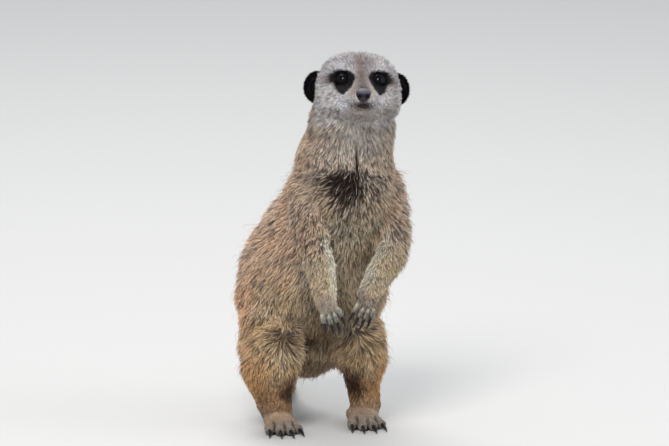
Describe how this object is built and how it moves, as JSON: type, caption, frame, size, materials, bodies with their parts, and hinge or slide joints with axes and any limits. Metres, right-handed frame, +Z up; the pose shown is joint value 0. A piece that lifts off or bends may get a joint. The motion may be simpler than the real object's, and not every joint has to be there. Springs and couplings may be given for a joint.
{
  "type": "meerkat",
  "caption": "Life-size still meerkat standing upright on its hind feet, propped by its tail, with its hands hanging before its belly and its head turned slightly to its right.",
  "frame": {"origin": "centre of the bounding box's base, on the floor under the animal", "axes": "the animal's body faces -Y and its left is +X; +Z is up"},
  "size_m": [0.1284, 0.3006, 0.2997],
  "materials": {
    "coat": "dense grizzled fur, tan and grey, darker on the back",
    "ear": "short black fur",
    "eye": "wet, very dark brown",
    "nose": "dark grey, finely pebbled skin",
    "claw": "black horn, worn to a dull shine"
  },
  "bodies": {
    "root": {"head": "coat", "neck": "coat", "trunk": "coat", "right_upper_arm": "coat", "right_forearm": "coat", "right_hand": "coat", "left_upper_arm": "coat", "left_forearm": "coat", "left_hand": "coat", "right_thigh": "coat", "right_shank": "coat", "right_foot": "coat", "left_thigh": "coat", "left_shank": "coat", "left_foot": "coat", "tail_base": "coat", "tail_end": "coat", "right_ear": "ear", "left_ear": "ear", "right_eye": "eye", "left_eye": "eye", "nose": "nose", "right_hand_claw_1": "claw", "right_hand_claw_2": "claw", "right_hand_claw_3": "claw", "right_hand_claw_4": "claw", "left_hand_claw_1": "claw", "left_hand_claw_2": "claw", "left_hand_claw_3": "claw", "left_hand_claw_4": "claw", "right_foot_claw_1": "claw", "right_foot_claw_2": "claw", "right_foot_claw_3": "claw", "right_foot_claw_4": "claw", "left_foot_claw_1": "claw", "left_foot_claw_2": "claw", "left_foot_claw_3": "claw", "left_foot_claw_4": "claw"}
  },
  "joints": []
}
